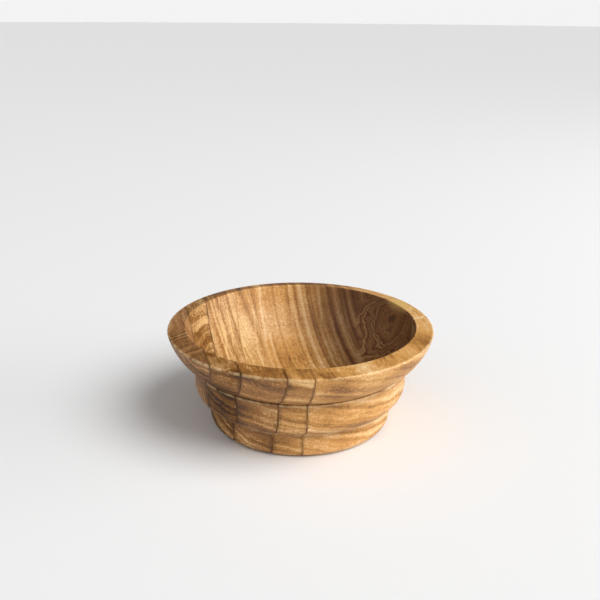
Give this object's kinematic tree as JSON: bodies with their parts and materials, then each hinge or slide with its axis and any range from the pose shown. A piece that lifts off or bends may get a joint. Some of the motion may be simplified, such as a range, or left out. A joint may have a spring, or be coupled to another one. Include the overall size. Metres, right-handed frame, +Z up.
{
  "type": "shaving bowl",
  "caption": "Handle-less turned wooden shaving bowl with a stepped outside, glued up from boards, with a broad sloping rim and a smooth round inside for soap and lather.",
  "frame": {"origin": "on the bowl's turning axis, in the plane that it stands on", "axes": "+Z up along the turning axis; the boards and their glue joints run along Y, and the boards are numbered from -X"},
  "size_m": [0.1197, 0.1196, 0.0468],
  "materials": {
    "outer_board_wood": "satin",
    "dark_board_wood": "satin",
    "brown_board_wood": "satin",
    "narrow_board_wood": "satin",
    "wide_board_wood": "satin",
    "dark_glue": "matte"
  },
  "bodies": {
    "root": {"board_1": "outer_board_wood", "board_2": "dark_board_wood", "board_3": "brown_board_wood", "board_4": "narrow_board_wood", "board_5": "wide_board_wood", "glue_line_a": "dark_glue", "glue_line_b": "dark_glue", "glue_line_c": "dark_glue", "glue_line_d": "dark_glue"}
  },
  "joints": []
}
